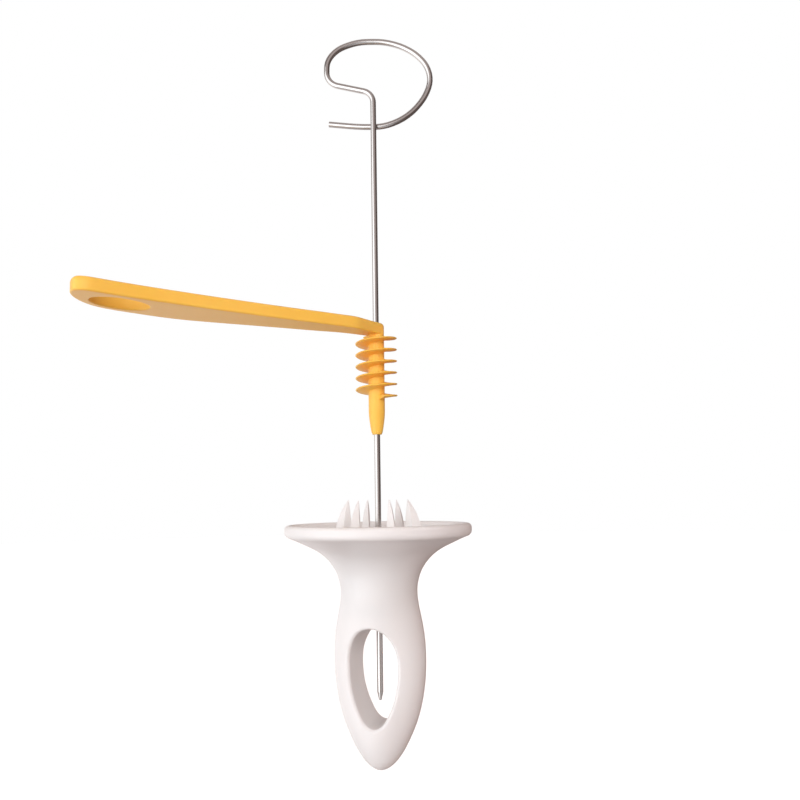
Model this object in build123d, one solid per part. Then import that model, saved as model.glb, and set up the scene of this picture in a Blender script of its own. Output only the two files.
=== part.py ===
from build123d import *
import math
import os

# Spiral ("tornado") potato cutter, hand cranked. Millimetres, +Z up along the skewer.
# Origin: on the skewer's axis, level with the lip of the holder's dish.
# X runs across the flat of the handle, Y runs through its finger loop.

# ---------------------------------------------------------------- driving dimensions
WIRE_D = 2.6              # stainless wire of the skewer
RUN_GAP = 0.08            # radial running clearance on the wire and round the bush

# holder
DISC_R = 40.0             # outer radius of the dish
LIP_R = 37.4              # inner wall of the lip
FLOOR_Z = -2.6            # floor of the dish = top of the spike plate
PLATE_T = 1.8             # spike plate
NECK_R = 16.35            # round neck under the dish
HANDLE_END_Z = -100.75    # bottom of the handle
CORE_END_Z = -36.8        # bottom of the hollow inside the neck
RIM_FILLET = 1.1          # rounded edge of the finger loop

# spike plate
SPIKE_N = 6
SPIKE_AZ0 = 9.0           # direction of the first spike from the flat of the handle
SPIKE_TIP_Z = 10.45
SPIKE_TIP_R = 12.9
BOSS_R = 3.4
BOSS_TOP_Z = -1.5
GUIDE_R = 3.4

# skewer
TIP_Z = -72.9
TAPER_L = 3.4
LOOP_AZ = 9.0             # turn of the loop from the flat of the handle
TIP_R = 0.55

# cutter
ARM_TOP_Z = 87.8
ARM_T = 5.35
ARM_AZ = 234.0            # direction the arm points in, degrees from +X
ARM_TOP_EDGE = 1.7        # rounded upper edges of the arm
ARM_LOW_EDGE = 0.7        # rounded lower edges of the arm
HOLE_EDGE = 0.5           # rounded edges of its crank hole
CORE_R = 3.55             # core of the screw
THREAD_R = 9.15           # outer radius of the screw's flight
PITCH = 5.1
THREAD_Z0 = 54.55         # centre of the flight where it starts
THREAD_AZ0 = -51.0        # direction in which it starts
THREAD_TURNS = 5.55
NOSE_TOP_Z = 48.6
NOSE_END_Z = 38.5
NOSE_END_R = 2.35
BUSH_R = 1.85             # outer radius of the bush in the hub
BUSH_Z0 = 40.2
BUSH_Z1 = 85.8

# blade
BLADE_T = 0.6
BLADE_Z = 84.6            # underside of the blade
BLADE_L0 = 5.5            # inner end, from the axis
BLADE_L1 = 43.0           # outer end

os.makedirs("parts", exist_ok=True)
WIRE_R = WIRE_D / 2
PLATE_BOTTOM_Z = FLOOR_Z - PLATE_T


def cyl(r, z0, z1, x=0.0, y=0.0):
    """Round bar from z0 to z1."""
    return Pos(x, y, z0) * Cylinder(
        r, z1 - z0, align=(Align.CENTER, Align.CENTER, Align.MIN)
    )


def ring_profile(edges):
    """A closed profile in the XZ plane, turned about Z."""
    face = make_face(edges)
    return revolve(face, Axis.Z, 360)


def save(shape, name):
    shape.label = name
    export_step(shape, os.path.join("parts", name + ".step"))


# ================================================================ holder shell
# Upper half: a dish with a rounded rim, whose underside flares down into a round neck.
flare = [
    (NECK_R, -28.0),
    (16.75, -24.6),
    (17.9, -20.6),
    (20.0, -16.9),
    (23.2, -13.3),
    (27.6, -10.2),
    (33.0, -7.6),
    (38.2, -5.35),
]
upper = ring_profile(
    [
        Line((0, 0, -28.0), (flare[0][0], 0, flare[0][1])),
        Spline(
            [(r, 0, z) for r, z in flare],
            tangents=[(0.0, 0, 1.0), (0.93, 0, 0.36)],
        ),
        ThreePointArc((38.2, 0, -5.35), (39.55, 0, -4.4), (DISC_R, 0, -3.0)),
        Line((DISC_R, 0, -3.0), (DISC_R, 0, -1.7)),
        ThreePointArc((DISC_R, 0, -1.7), (39.5, 0, -0.5), (38.3, 0, 0.0)),
        Line((38.3, 0, 0.0), (0, 0, 0.0)),
        Line((0, 0, 0.0), (0, 0, -28.0)),
    ]
)

# Lower half: the neck flattens into the finger loop and closes in a round end.
# (z, half width in X, half depth in Y)
stations = [
    (-28.0, 16.35, 16.35),
    (-33.0, 16.84, 15.6),
    (-39.0, 18.14, 14.5),
    (-46.0, 19.42, 13.25),
    (-53.0, 19.95, 12.15),
    (-60.0, 19.87, 11.6),
    (-67.0, 19.2, 11.3),
    (-74.0, 17.85, 10.9),
    (-81.0, 15.73, 10.15),
    (-87.5, 12.84, 9.0),
    (-93.0, 9.8, 7.4),
    (-97.0, 6.74, 5.4),
    (-99.6, 3.64, 3.1),
]
rings = [Pos(0, 0, z) * Ellipse(a, b) for z, a, b in stations]
lower = loft(rings + [Vertex(0, 0, HANDLE_END_Z)])
holder = upper + lower

# Recess for the spike plate, and the hollow under it, which a straight core leaves.
holder -= cyl(LIP_R, PLATE_BOTTOM_Z, 5.0)
hollow = ring_profile(
    [
        Line((0, 0, PLATE_BOTTOM_Z + 0.5), (34.4, 0, PLATE_BOTTOM_Z + 0.5)),
        Line((34.4, 0, PLATE_BOTTOM_Z + 0.5), (34.4, 0, PLATE_BOTTOM_Z)),
        Spline(
            [
                (34.4, 0, PLATE_BOTTOM_Z),
                (28.0, 0, -7.4),
                (22.3, 0, -10.9),
                (18.1, 0, -15.2),
                (15.6, 0, -20.2),
                (14.2, 0, -26.0),
                (12.9, 0, CORE_END_Z),
            ]
        ),
        Line((12.9, 0, CORE_END_Z), (0, 0, CORE_END_Z)),
        Line((0, 0, CORE_END_Z), (0, 0, PLATE_BOTTOM_Z + 0.5)),
    ]
)
holder -= hollow
# Finger loop: an upright oval right through, with well rounded rims.
half = [
    (5.0, -43.7),
    (8.4, -48.0),
    (10.1, -53.2),
    (10.4, -58.5),
    (9.9, -65.0),
    (8.35, -71.5),
    (5.75, -77.6),
    (3.0, -81.3),
]
loop_pts = (
    [(0, -42.1)] + half + [(0, -82.5)] + [(-x, z) for x, z in reversed(half)]
)
with BuildSketch(Plane.XZ) as loop_sk:
    with BuildLine():
        Spline([(x, z) for x, z in loop_pts], periodic=True)
    make_face()
finger_hole = extrude(loop_sk.sketch, amount=25.0, both=True)
holder -= finger_hole
rim_edges = [
    e
    for e in holder.edges()
    if e.length > 60
    and -84 < e.center(CenterOf.BOUNDING_BOX).Z < -40
    and abs(e.center(CenterOf.BOUNDING_BOX).Y) > 3
]
print("finger loop rim edges:", len(rim_edges), [round(e.length, 1) for e in rim_edges])
try:
    holder = fillet(rim_edges, RIM_FILLET)
    print("rim fillet", RIM_FILLET)
except Exception as err:
    print("rim fillet failed:", err)
# Socket for the lower end of the guide, and the hole by which the wire enters the loop.
holder -= cyl(GUIDE_R + 0.05, CORE_END_Z - 1.6, CORE_END_Z + 1.0)
holder -= cyl(WIRE_R + 0.3, -50.0, CORE_END_Z + 1.0)
lip_edges = [
    e
    for e in holder.edges().filter_by(GeomType.CIRCLE)
    if abs(e.radius - LIP_R) < 0.01 and abs(e.center().Z) < 0.01
]
holder = fillet(lip_edges, 0.6)
save(holder, "holder_shell")

# ================================================================ spike plate
plate = cyl(LIP_R - 0.12, PLATE_BOTTOM_Z, FLOOR_Z)
plate = chamfer(
    [e for e in plate.edges().filter_by(GeomType.CIRCLE) if e.center().Z > FLOOR_Z - 0.01],
    0.25,
)
boss = cyl(BOSS_R, FLOOR_Z - 0.5, BOSS_TOP_Z)
boss = fillet(boss.edges().sort_by(Axis.Z)[-1:], 0.5)
guide = cyl(GUIDE_R, CORE_END_Z - 1.5, PLATE_BOTTOM_Z + 0.5)
guide = chamfer(guide.edges().sort_by(Axis.Z)[:1], 0.5)
plate = plate + boss + guide
# Four webs brace the guide under the plate.
for k in range(4):
    web = (
        Rot(0, 0, 45 + 90 * k)
        * Pos(8.0, 0, -9.4)
        * Box(11.0, 1.4, 10.4)
    )
    plate += web
# Stiffening ring under the plate.
plate += cyl(13.9, PLATE_BOTTOM_Z - 4.5, PLATE_BOTTOM_Z + 0.4) - cyl(
    12.3, PLATE_BOTTOM_Z - 4.5, PLATE_BOTTOM_Z + 0.4
)

# A spike: four-sided, its inner edge upright, its outer edge curved over to the point.
# (share of the height, inner radius, outer radius, thickness)
spike_rows = [
    (-0.03, 11.55, 18.8, 4.1),
    (0.12, 11.65, 18.45, 3.9),
    (0.32, 11.85, 17.75, 3.45),
    (0.52, 12.05, 16.75, 2.85),
    (0.72, 12.3, 15.45, 2.05),
    (0.87, 12.55, 14.2, 1.2),
    (0.96, 12.78, 13.3, 0.45),
]
spike_h = SPIKE_TIP_Z - FLOOR_Z
wires = []
for s, ri, ro, t in spike_rows:
    z = FLOOR_Z + s * spike_h
    rm = ri + (ro - ri) * 0.46
    wires.append(
        make_face(
            Polyline(
                (ri, 0, z), (rm, -t / 2, z), (ro, 0, z), (rm, t / 2, z), close=True
            )
        )
    )
spike = loft(wires + [Vertex(SPIKE_TIP_R, 0, SPIKE_TIP_Z)])
for k in range(SPIKE_N):
    plate += Rot(0, 0, SPIKE_AZ0 + 360 / SPIKE_N * k) * spike
plate -= cyl(WIRE_R + RUN_GAP, -60.0, 20.0)
save(plate, "spike_plate")

# ================================================================ skewer
# One wire: a blunt point, a straight run, and a loop that turns back behind the run.
# Points on the loop's centre line with the wire's heading there, degrees in the XZ plane.
loop_touch = [
    (0.0, 185.0, 90.0),
    (-12.2, 199.2, 163.5),
    (-21.65, 209.3, 90.0),
    (-18.9, 216.3, 48.0),
    (-12.5, 220.1, 17.5),
    (-1.0, 221.35, -3.5),
    (10.0, 219.25, -19.4),
    (16.8, 215.9, -33.4),
    (22.45, 210.9, -51.0),
    (25.85, 204.1, -78.0),
    (25.2, 196.7, -110.0),
    (21.3, 190.2, -129.6),
    (15.7, 185.1, -146.6),
    (8.8, 181.9, -163.5),
    (-2.0, 180.95, -183.5),
    (-13.7, 182.4, -189.5),
]
LOOP_END = (-21.2, 183.65)
LOOP_BACK = 3.25          # how far behind the straight run the loop's end lies
corners = []
for (xa, za, ta), (xb, zb, tb) in zip(loop_touch[:-1], loop_touch[1:]):
    ua = (math.cos(math.radians(ta)), math.sin(math.radians(ta)))
    ub = (math.cos(math.radians(tb)), math.sin(math.radians(tb)))
    det = ua[0] * (-ub[1]) + ub[0] * ua[1]
    s = ((xb - xa) * (-ub[1]) + ub[0] * (zb - za)) / det
    corners.append((xa + s * ua[0], za + s * ua[1]))
path_pts = [(0.0, TIP_Z)] + corners + [LOOP_END]
run = [0.0]
for (xa, za), (xb, zb) in zip(path_pts[:-1], path_pts[1:]):
    run.append(run[-1] + math.hypot(xb - xa, zb - za))
back_from, back_to = run[2], run[-3]
pts3 = []
for (x, z), s in zip(path_pts, run):
    k = min(1.0, max(0.0, (s - back_from) / (back_to - back_from)))
    pts3.append(Vector(x, LOOP_BACK * k, z))
legs = [(b - a).length for a, b in zip(pts3[:-1], pts3[1:])]
turns = [
    (b - a).get_angle(c - b) for a, b, c in zip(pts3[:-2], pts3[1:-1], pts3[2:])
]
# Each bend takes what its two runs leave it; the first one is a tight bend on the straight run.
share = [0.5] * len(turns)
radii = []
for i, t in enumerate(turns):
    tan = math.tan(math.radians(t) / 2)
    la = legs[i] * (0.5 if i else 0.05)
    lb = legs[i + 1] * 0.5
    radii.append(min(la if i else 1e9, lb) * 0.97 / tan)
radii[0] = min(radii[0], 6.0)
print("bend radii", [round(r, 1) for r in radii])
wire_path = FilletPolyline(*pts3, radius=radii)
print("wire length %.1f" % wire_path.length)
start = Plane(origin=(0, 0, TIP_Z), z_dir=(0, 0, 1))
skewer = sweep(start * Circle(WIRE_R), path=wire_path)
tip_cut = cyl(WIRE_R + 1.0, TIP_Z - 1.0, TIP_Z + TAPER_L) - (
    Pos(0, 0, TIP_Z)
    * Cone(TIP_R, WIRE_R, TAPER_L, align=(Align.CENTER, Align.CENTER, Align.MIN))
)
skewer -= tip_cut
skewer = Rot(0, 0, LOOP_AZ) * skewer
save(skewer, "skewer")

# ================================================================ cutter body
# Plan of the arm: L runs out along the arm, W across it (+W is the trailing side).
trail = [
    (130.6, 3.6),
    (130.2, 6.1),
    (128.0, 7.7),
    (123.0, 7.9),
    (112.0, 7.0),
    (95.0, 6.4),
    (64.0, 6.45),
    (42.0, 7.2),
    (30.0, 7.85),
    (20.5, 8.25),
    (16.8, 8.35),
    (14.6, 8.1),
    (12.3, 7.45),
    (9.3, 6.5),
    (6.3, 5.5),
    (3.4, 4.6),
    (1.2, 4.0),
]
lead = [
    (16.6, -4.15),
    (25.0, -6.1),
    (36.0, -8.4),
    (55.5, -12.4),
    (72.0, -15.9),
    (86.0, -17.8),
    (99.0, -17.3),
    (108.0, -16.3),
    (115.4, -14.6),
    (120.8, -11.6),
    (125.6, -7.0),
    (129.0, -1.9),
    (130.6, 3.6),
]
arm_z0 = ARM_TOP_Z - ARM_T
hub_deg = 107.0            # where the trailing edge runs onto the round head of the hub
hub_a = (
    CORE_R * math.cos(math.radians(hub_deg)),
    CORE_R * math.sin(math.radians(hub_deg)),
)
back_deg = (hub_deg + 270.0) / 2
hub_back = (
    CORE_R * math.cos(math.radians(back_deg)),
    CORE_R * math.sin(math.radians(back_deg)),
)
hub_b = (0.0, -CORE_R)
with BuildSketch() as arm_sk:
    with BuildLine():
        Spline(
            [(0.0, -CORE_R), (6.0, -3.57)] + lead + trail[1:] + [hub_a],
            tangents=[
                (1.0, 0.0),
                (
                    -math.sin(math.radians(hub_deg)),
                    math.cos(math.radians(hub_deg)),
                ),
            ],
        )
        ThreePointArc(hub_a, hub_back, hub_b)
    make_face()
arm = Pos(0, 0, arm_z0) * extrude(arm_sk.sketch, amount=ARM_T)
hole_c = (111.0, -4.6)
hole_tilt = 15.0
crank_hole = (
    Pos(hole_c[0], hole_c[1], arm_z0 - 2)
    * Rot(0, 0, hole_tilt)
    * extrude(Ellipse(11.5, 7.6), amount=ARM_T + 4)
)
bar = arm


def flat_edges(shape):
    """The edges that lie level, without the short ones."""
    return [
        e for e in shape.edges() if abs(e.bounding_box().size.Z) < 0.01 and e.length > 3
    ]


outer = flat_edges(bar)
print("arm edges:", [round(e.length, 1) for e in outer])
for top, sizes in ((True, (ARM_TOP_EDGE, 1.5, 1.2, 1.0)), (False, (ARM_LOW_EDGE, 0.6, 0.5))):
    z_edge = ARM_TOP_Z if top else arm_z0
    level = [e for e in flat_edges(bar) if abs(e.center().Z - z_edge) < 0.05]
    for r in sizes:
        try:
            bar = fillet(level, r)
            print("arm fillet", "upper" if top else "lower", r)
            break
        except Exception as err:
            print("arm fillet failed", r, str(err)[:80])
bar -= crank_hole
rims = [e for e in flat_edges(bar) if 50 < e.length < 75]
print("hole edges:", [round(e.length, 1) for e in rims])
bar = fillet(rims, HOLE_EDGE)

# Screw: a core with one right-handed flight, thinner towards its edge.
nose = ring_profile(
    [
        Line((0, 0, ARM_TOP_Z - 2.0), (CORE_R, 0, ARM_TOP_Z - 2.0)),
        Line((CORE_R, 0, ARM_TOP_Z - 2.0), (CORE_R, 0, NOSE_TOP_Z)),
        Spline(
            [(CORE_R, 0, NOSE_TOP_Z), (3.2, 0, 44.3), (NOSE_END_R + 0.12, 0, 39.6)],
            tangents=[(-0.02, 0, -1.0), (-0.2, 0, -1.0)],
        ),
        Line((NOSE_END_R + 0.12, 0, 39.6), (NOSE_END_R - 0.35, 0, NOSE_END_Z)),
        Line((NOSE_END_R - 0.35, 0, NOSE_END_Z), (0, 0, NOSE_END_Z)),
        Line((0, 0, NOSE_END_Z), (0, 0, ARM_TOP_Z - 2.0)),
    ]
)
height = PITCH * THREAD_TURNS
helix = Helix(pitch=PITCH, height=height, radius=CORE_R)
flight_face = make_face(
    Polyline(
        (CORE_R - 0.45, 0, -1.15),
        (CORE_R + 0.5, 0, -0.92),
        (THREAD_R - 0.35, 0, -0.36),
        (THREAD_R, 0, -0.12),
        (THREAD_R, 0, 0.12),
        (THREAD_R - 0.35, 0, 0.36),
        (CORE_R + 0.5, 0, 0.92),
        (CORE_R - 0.45, 0, 1.15),
        close=True,
    )
)
flight = sweep(flight_face, path=helix, is_frenet=True)
flight = Pos(0, 0, THREAD_Z0) * Rot(0, 0, THREAD_AZ0) * flight
print("flight volume %.1f valid %s" % (flight.volume, flight.is_valid))

body = Rot(0, 0, ARM_AZ) * bar + nose
body = body + flight
# Bore: the bush sits in it, between two smaller mouths.
body -= cyl(BUSH_R + RUN_GAP, BUSH_Z0 - 0.1, BUSH_Z1 + 0.1)
body -= cyl(WIRE_R + 0.25, 20.0, 120.0)

# ================================================================ blade
# A strip let into the leading edge of the arm, its ground edge standing out of it.
def lead_w(length):
    """W of the leading edge at a distance out along the arm."""
    a = [(4.0, -CORE_R)] + lead
    for (l0, w0), (l1, w1) in zip(a[:-1], a[1:]):
        if l0 <= length <= l1:
            return w0 + (w1 - w0) * (length - l0) / (l1 - l0)
    return a[-1][1]


w0, w1 = lead_w(BLADE_L0), lead_w(BLADE_L1)
OUT, IN = 2.3, 4.6        # how far it stands out, and how deep it is let in
b0, b1 = (BLADE_L0, w0), (BLADE_L1, w1)
dl, dw = b1[0] - b0[0], b1[1] - b0[1]
ln = math.hypot(dl, dw)
ul, uw = dl / ln, dw / ln            # along the edge
nl, nw = uw, -ul                     # outwards, away from the arm


def bp(s, o):
    return (b0[0] + ul * s + nl * o, b0[1] + uw * s + nw * o)


in0 = -min(IN, 2.0)
strip = make_face(
    Polyline(bp(0, OUT), bp(ln, OUT), bp(ln, -IN), bp(7.5, -IN), bp(0, in0), close=True)
)
blade = Pos(0, 0, BLADE_Z) * extrude(strip, amount=BLADE_T)
pocket_face = make_face(
    Polyline(bp(0, OUT + 3), bp(ln, OUT + 3), bp(ln, -IN), bp(7.5, -IN), bp(0, in0), close=True)
)
pocket = Pos(0, 0, BLADE_Z) * extrude(pocket_face, amount=BLADE_T)
# ground edge: the underside is bevelled up to the cutting edge
bevel_in = 1.5
wedge = make_face(
    Polyline(
        (0, -0.02),
        (bevel_in + 0.02, -0.02),
        (0, BLADE_T - 0.08),
        close=True,
    )
)
# the wedge's section stands across the edge: x inwards from the edge, y up
pl = Plane(
    origin=(bp(-1, OUT)[0], bp(-1, OUT)[1], BLADE_Z),
    x_dir=(-nl, -nw, 0),
    z_dir=(-ul, -uw, 0),
)
# y of this plane must point up
if pl.y_dir.Z < 0:
    pl = Plane(origin=pl.origin, x_dir=pl.x_dir, z_dir=-pl.z_dir)
bevel = extrude(pl * wedge, amount=ln + 4, both=True)
blade -= bevel
# two pegs of the moulding lock the strip
pegs = []
for s in (14.0, 31.0):
    x, y = bp(s, -2.6)
    pegs.append((x, y))
    blade -= cyl(0.9, BLADE_Z - 1, BLADE_Z + BLADE_T + 1, x, y)
    pocket -= cyl(0.9, BLADE_Z - 1, BLADE_Z + BLADE_T + 1, x, y)
blade = Rot(0, 0, ARM_AZ) * blade
body -= Rot(0, 0, ARM_AZ) * pocket
save(body, "cutter_body")
save(blade, "cutter_blade")

# ================================================================ bush in the hub
bush = cyl(BUSH_R, BUSH_Z0, BUSH_Z1) - cyl(WIRE_R + RUN_GAP, BUSH_Z0 - 1, BUSH_Z1 + 1)
save(bush, "hub_bush")
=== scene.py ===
import math

import bpy
from mathutils import Matrix, Vector

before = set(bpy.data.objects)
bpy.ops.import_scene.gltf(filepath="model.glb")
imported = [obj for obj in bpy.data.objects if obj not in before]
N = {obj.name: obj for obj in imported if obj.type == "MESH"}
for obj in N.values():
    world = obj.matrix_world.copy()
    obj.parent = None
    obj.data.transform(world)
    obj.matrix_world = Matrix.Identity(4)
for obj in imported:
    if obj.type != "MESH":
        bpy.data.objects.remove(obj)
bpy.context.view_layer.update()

scene = bpy.context.scene
scene.view_settings.view_transform = "Standard"
scene.view_settings.look = "None"
scene.view_settings.exposure = 0.0
scene.view_settings.gamma = 1.0

# ------------------------------------------------------------------ camera
# A camera a little above the dish, tilted up by 6.9 degrees, 348 mm from the skewer.
TURN = math.radians(18.0)
PITCH, YAW, ROLL = math.radians(6.88), math.radians(1.68), math.radians(0.9)


def turned(v):
    c, s = math.cos(TURN), math.sin(TURN)
    return Vector((c * v[0] - s * v[1], s * v[0] + c * v[1], v[2]))


fwd = Vector((math.sin(YAW) * math.cos(PITCH), math.cos(YAW) * math.cos(PITCH), math.sin(PITCH)))
right = Vector((math.cos(YAW), -math.sin(YAW), 0.0))
up = right.cross(fwd)
ix = right * math.cos(ROLL) - up * math.sin(ROLL)
iy = right * math.sin(ROLL) + up * math.cos(ROLL)
cam_data = bpy.data.cameras.new("camera")
cam_data.sensor_width = 36.0
cam_data.lens = 36.0
cam_data.clip_start = 0.01
cam_data.clip_end = 50.0
cam = bpy.data.objects.new("camera", cam_data)
scene.collection.objects.link(cam)
ax, ay, az = turned(ix), turned(iy), turned(-fwd)
place = turned(Vector((0.0, -0.3479, 0.01155)))
cam.matrix_world = Matrix(
    (
        (ax[0], ay[0], az[0], place[0]),
        (ax[1], ay[1], az[1], place[1]),
        (ax[2], ay[2], az[2], place[2]),
        (0, 0, 0, 1),
    )
)
scene.camera = cam


# ------------------------------------------------------------------ node helpers
def mat_new(name):
    m = bpy.data.materials.new(name)
    m.use_nodes = True
    nt = m.node_tree
    for n in list(nt.nodes):
        nt.nodes.remove(n)
    out = nt.nodes.new("ShaderNodeOutputMaterial")
    bsdf = nt.nodes.new("ShaderNodeBsdfPrincipled")
    nt.links.new(bsdf.outputs[0], out.inputs[0])
    return m, nt, bsdf


def noise(nt, scale, detail=3.0, rough=0.55, stretch=(1, 1, 1), src="Object", distort=0.0):
    tc = nt.nodes.new("ShaderNodeTexCoord")
    mp = nt.nodes.new("ShaderNodeMapping")
    mp.inputs["Scale"].default_value = stretch
    nt.links.new(tc.outputs[src], mp.inputs["Vector"])
    nz = nt.nodes.new("ShaderNodeTexNoise")
    nz.inputs["Scale"].default_value = scale
    nz.inputs["Detail"].default_value = detail
    nz.inputs["Roughness"].default_value = rough
    nz.inputs["Distortion"].default_value = distort
    nt.links.new(mp.outputs[0], nz.inputs["Vector"])
    return nz.outputs["Fac"]


def remap(nt, value, a, b, c, d, smooth=False):
    r = nt.nodes.new("ShaderNodeMapRange")
    r.interpolation_type = "SMOOTHSTEP" if smooth else "LINEAR"
    r.inputs["From Min"].default_value = a
    r.inputs["From Max"].default_value = b
    r.inputs["To Min"].default_value = c
    r.inputs["To Max"].default_value = d
    nt.links.new(value, r.inputs["Value"])
    return r.outputs["Result"]


def mix_color(nt, fac, c1, c2):
    m = nt.nodes.new("ShaderNodeMix")
    m.data_type = "RGBA"
    m.inputs["A"].default_value = (*c1, 1)
    m.inputs["B"].default_value = (*c2, 1)
    nt.links.new(fac, m.inputs["Factor"])
    return m.outputs["Result"]


def maths(nt, op, a, b=None):
    m = nt.nodes.new("ShaderNodeMath")
    m.operation = op
    for i, v in enumerate((a, b)):
        if v is None:
            continue
        if isinstance(v, (int, float)):
            m.inputs[i].default_value = v
        else:
            nt.links.new(v, m.inputs[i])
    return m.outputs[0]


def bump(nt, bsdf, height, distance, strength=1.0):
    b = nt.nodes.new("ShaderNodeBump")
    b.inputs["Distance"].default_value = distance
    b.inputs["Strength"].default_value = strength
    nt.links.new(height, b.inputs["Height"])
    nt.links.new(b.outputs[0], bsdf.inputs["Normal"])
    return b


def paint(node, m):
    o = N[node]
    o.data.materials.clear()
    o.data.materials.append(m)


# ------------------------------------------------------------------ materials
# White moulded plastic of the holder: glossy, slightly cloudy, with faint flow marks.
m_white, nt, b = mat_new("white_plastic")
flow = noise(nt, 38.0, 2.0, 0.5, (1, 1, 0.35), distort=0.6)
fine = noise(nt, 1400.0, 2.0, 0.5)
col = mix_color(nt, remap(nt, flow, 0.3, 0.7, 0, 1), (0.815, 0.802, 0.796), (0.845, 0.836, 0.832))
nt.links.new(col, b.inputs["Base Color"])
nt.links.new(remap(nt, flow, 0.25, 0.75, 0.27, 0.36), b.inputs["Roughness"])
b.inputs["IOR"].default_value = 1.50
b.inputs["Subsurface Weight"].default_value = 0.65
b.inputs["Subsurface Radius"].default_value = (1.0, 0.95, 0.93)
b.inputs["Subsurface Scale"].default_value = 0.0050
hgt = maths(nt, "ADD", maths(nt, "MULTIPLY", flow, 0.8), maths(nt, "MULTIPLY", fine, 0.05))
bump(nt, b, hgt, 0.00012, 0.6)
paint("holder_shell", m_white)

# Whiter, more translucent plastic of the spikes and their plate.
m_spike, nt, b = mat_new("white_spikes")
flow = noise(nt, 90.0, 2.0, 0.5)
col = mix_color(nt, remap(nt, flow, 0.3, 0.7, 0, 1), (0.875, 0.872, 0.868), (0.90, 0.898, 0.895))
nt.links.new(col, b.inputs["Base Color"])
nt.links.new(remap(nt, flow, 0.25, 0.75, 0.33, 0.36), b.inputs["Roughness"])
b.inputs["IOR"].default_value = 1.50
b.inputs["Subsurface Weight"].default_value = 0.3
b.inputs["Subsurface Radius"].default_value = (1.0, 0.95, 0.92)
b.inputs["Subsurface Scale"].default_value = 0.0035
paint("spike_plate", m_spike)

# Yellow-orange satin plastic of the cutter.
m_yellow, nt, b = mat_new("yellow_plastic")
flow = noise(nt, 30.0, 2.0, 0.5, (1, 1, 1), distort=0.8)
grain = noise(nt, 2600.0, 2.0, 0.6)
col = mix_color(nt, remap(nt, flow, 0.3, 0.7, 0, 1), (0.935, 0.540, 0.082), (0.960, 0.565, 0.097))
nt.links.new(col, b.inputs["Base Color"])
nt.links.new(remap(nt, grain, 0.3, 0.7, 0.32, 0.44), b.inputs["Roughness"])
b.inputs["IOR"].default_value = 1.50
b.inputs["Subsurface Weight"].default_value = 0.15
b.inputs["Subsurface Radius"].default_value = (1.0, 0.45, 0.10)
b.inputs["Subsurface Scale"].default_value = 0.0018
hgt = maths(nt, "ADD", maths(nt, "MULTIPLY", flow, 0.5), maths(nt, "MULTIPLY", grain, 0.16))
bump(nt, b, hgt, 0.00010, 0.5)
paint("cutter_body", m_yellow)

# Drawn stainless wire.
m_wire, nt, b = mat_new("wire_steel")
b.inputs["Metallic"].default_value = 1.0
streak = noise(nt, 2200.0, 2.0, 0.5, (1, 1, 0.02))
smudge = noise(nt, 55.0, 3.0, 0.6, (1, 1, 0.5))
col = mix_color(nt, remap(nt, smudge, 0.3, 0.7, 0, 1), (0.56, 0.55, 0.54), (0.63, 0.62, 0.61))
nt.links.new(col, b.inputs["Base Color"])
nt.links.new(
    maths(nt, "ADD", remap(nt, streak, 0.3, 0.7, 0.09, 0.15), remap(nt, smudge, 0.3, 0.7, 0.0, 0.08)),
    b.inputs["Roughness"],
)
paint("skewer", m_wire)

# Ground blade strip and the bush.
m_blade, nt, b = mat_new("blade_steel")
b.inputs["Metallic"].default_value = 1.0
brush = noise(nt, 1500.0, 3.0, 0.6, (0.08, 1, 1))
col = mix_color(nt, remap(nt, brush, 0.3, 0.7, 0, 1), (0.58, 0.57, 0.56), (0.66, 0.65, 0.64))
nt.links.new(col, b.inputs["Base Color"])
nt.links.new(remap(nt, brush, 0.3, 0.7, 0.20, 0.34), b.inputs["Roughness"])
bump(nt, b, brush, 0.00002, 0.4)
paint("cutter_blade", m_blade)
paint("hub_bush", m_blade)

# ------------------------------------------------------------------ floor
bpy.ops.mesh.primitive_circle_add(vertices=96, radius=9.0, fill_type="NGON", location=(0, 0, -0.42))
floor = bpy.context.object
floor.name = "floor"
m_floor, nt, b = mat_new("floor")
b.inputs["Base Color"].default_value = (0.9, 0.9, 0.9, 1)
b.inputs["Roughness"].default_value = 0.9
b.inputs["Emission Color"].default_value = (1, 1, 1, 1)
b.inputs["Emission Strength"].default_value = 0.75
floor.data.materials.append(m_floor)
floor.visible_diffuse = False
floor.visible_glossy = False
floor.visible_shadow = False

# ------------------------------------------------------------------ light
# A soft surround: bright and neutral to the left and front, dim and warm to the right.
world = bpy.data.worlds.new("studio")
scene.world = world
world.use_nodes = True
wt = world.node_tree
for n in list(wt.nodes):
    wt.nodes.remove(n)
w_out = wt.nodes.new("ShaderNodeOutputWorld")
w_mix = wt.nodes.new("ShaderNodeMixShader")
w_seen = wt.nodes.new("ShaderNodeBackground")
w_seen.inputs["Color"].default_value = (1, 1, 1, 1)
w_seen.inputs["Strength"].default_value = 1.0
w_lit = wt.nodes.new("ShaderNodeBackground")
w_lit.inputs["Strength"].default_value = 1.0
w_path = wt.nodes.new("ShaderNodeLightPath")
w_tc = wt.nodes.new("ShaderNodeTexCoord")


def w_lobe(direction, power):
    """How far a direction of view points the way given, 0 to 1."""
    d = wt.nodes.new("ShaderNodeVectorMath")
    d.operation = "DOT_PRODUCT"
    d.inputs[1].default_value = turned(Vector(direction)).normalized()
    wt.links.new(w_tc.outputs["Generated"], d.inputs[0])
    m = maths(wt, "MAXIMUM", d.outputs["Value"], 0.0)
    return maths(wt, "POWER", m, power)


def w_scaled(fac, color):
    m = wt.nodes.new("ShaderNodeVectorMath")
    m.operation = "SCALE"
    m.inputs[0].default_value = color
    wt.links.new(fac, m.inputs["Scale"])
    return m.outputs[0]


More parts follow.
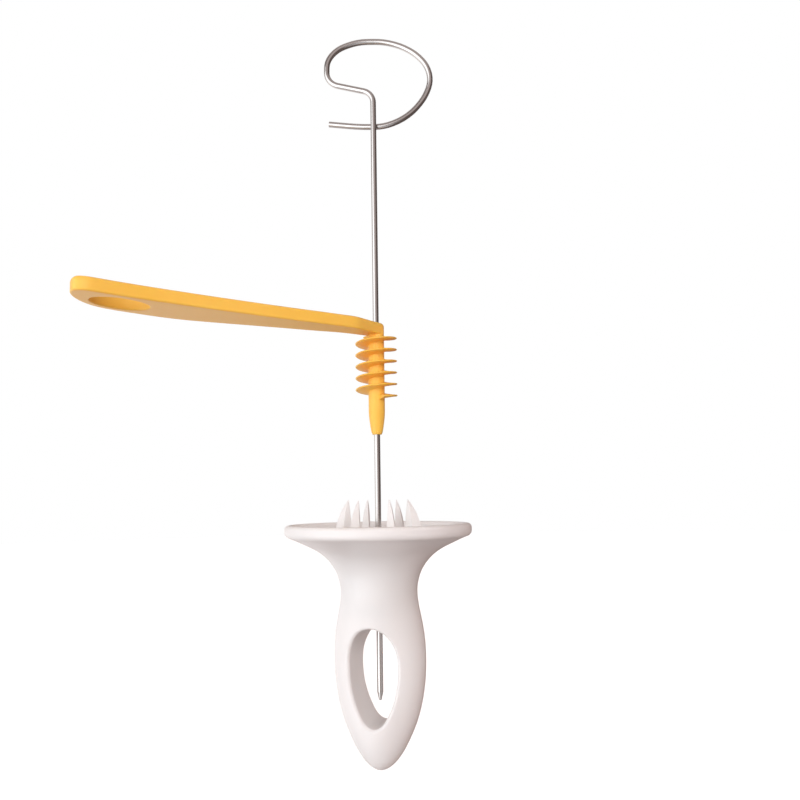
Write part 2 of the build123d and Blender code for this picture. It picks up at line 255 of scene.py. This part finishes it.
def w_add(p, q):
    m = wt.nodes.new("ShaderNodeVectorMath")
    m.operation = "ADD"
    for i, v in enumerate((p, q)):
        if isinstance(v, tuple):
            m.inputs[i].default_value = v
        else:
            wt.links.new(v, m.inputs[i])
    return m.outputs[0]


glow = (0.330, 0.222, 0.195)
for way, power, color in (
    ((-0.90, -0.40, 0.0), 1.2, (0.965, 1.075, 1.120)),
    ((-0.10, 0.80, -0.50), 6.0, (0.62, 0.62, 0.63)),
    ((0.80, 0.60, 0.0), 6.0, (0.55, 0.53, 0.52)),
):
    glow = w_add(glow, w_scaled(w_lobe(way, power), color))


def w_card(direction, edge, core):
    """A soft-edged round card seen in the direction given; its edge and core in degrees off it."""
    d = wt.nodes.new("ShaderNodeVectorMath")
    d.operation = "DOT_PRODUCT"
    d.inputs[1].default_value = turned(Vector(direction)).normalized()
    wt.links.new(w_tc.outputs["Generated"], d.inputs[0])
    lo_, hi_ = math.cos(math.radians(edge)), math.cos(math.radians(core))
    return remap(wt, d.outputs["Value"], lo_, hi_, 0.0, 1.0, smooth=True)


# What bright surfaces mirror: a big white card to the front left, a dimmer one to the front
# right, a grey one behind to the left and overhead, and dark brown between them.
mirror = (0.15, 0.115, 0.105)
for way, edge, core, color in (
    ((-0.80, -0.58, -0.10), 46.0, 31.0, (1.75, 1.77, 1.80)),
    ((0.12, -0.96, 0.28), 46.0, 20.0, (0.44, 0.39, 0.38)),
    ((-0.66, 0.75, 0.05), 50.0, 30.0, (0.62, 0.61, 0.60)),
    ((0.0, 0.10, 1.0), 55.0, 25.0, (0.42, 0.38, 0.37)),
    ((-0.50, -0.50, -0.75), 52.0, 10.0, (0.60, 0.61, 0.63)),
    ((-0.62, 0.62, -0.50), 50.0, 12.0, (0.52, 0.47, 0.46)),
):
    mirror = w_add(mirror, w_scaled(w_card(way, edge, core), color))
w_pick = wt.nodes.new("ShaderNodeMix")
w_pick.data_type = "RGBA"
wt.links.new(w_path.outputs["Is Glossy Ray"], w_pick.inputs["Factor"])
wt.links.new(glow, w_pick.inputs["A"])
wt.links.new(mirror, w_pick.inputs["B"])
wt.links.new(w_pick.outputs["Result"], w_lit.inputs["Color"])
wt.links.new(w_path.outputs["Is Camera Ray"], w_mix.inputs["Fac"])
wt.links.new(w_lit.outputs[0], w_mix.inputs[1])
wt.links.new(w_seen.outputs[0], w_mix.inputs[2])
wt.links.new(w_mix.outputs[0], w_out.inputs[0])


def softbox(name, pos, target, w, h, power, color=(1, 1, 1), spread=180.0):
    d = bpy.data.lights.new(name, "AREA")
    d.shape = "RECTANGLE"
    d.size, d.size_y = w, h
    d.energy = power
    d.color = color
    d.spread = math.radians(spread)
    o = bpy.data.objects.new(name, d)
    scene.collection.objects.link(o)
    p, t = turned(Vector(pos)), turned(Vector(target))
    o.location = p
    o.rotation_mode = "QUATERNION"
    o.rotation_quaternion = (t - p).to_track_quat("-Z", "Y")
    o.visible_camera = False
    return o


front = softbox("front", (-0.03, -0.65, 0.15), (0, 0, 0.03), 0.36, 0.46, 1.42)
front.visible_glossy = False
arm_box = softbox("arm", (0.16, -0.50, 0.20), (-0.055, -0.04, 0.087), 0.22, 0.22, 0.11, spread=60.0)
arm_box.visible_glossy = False
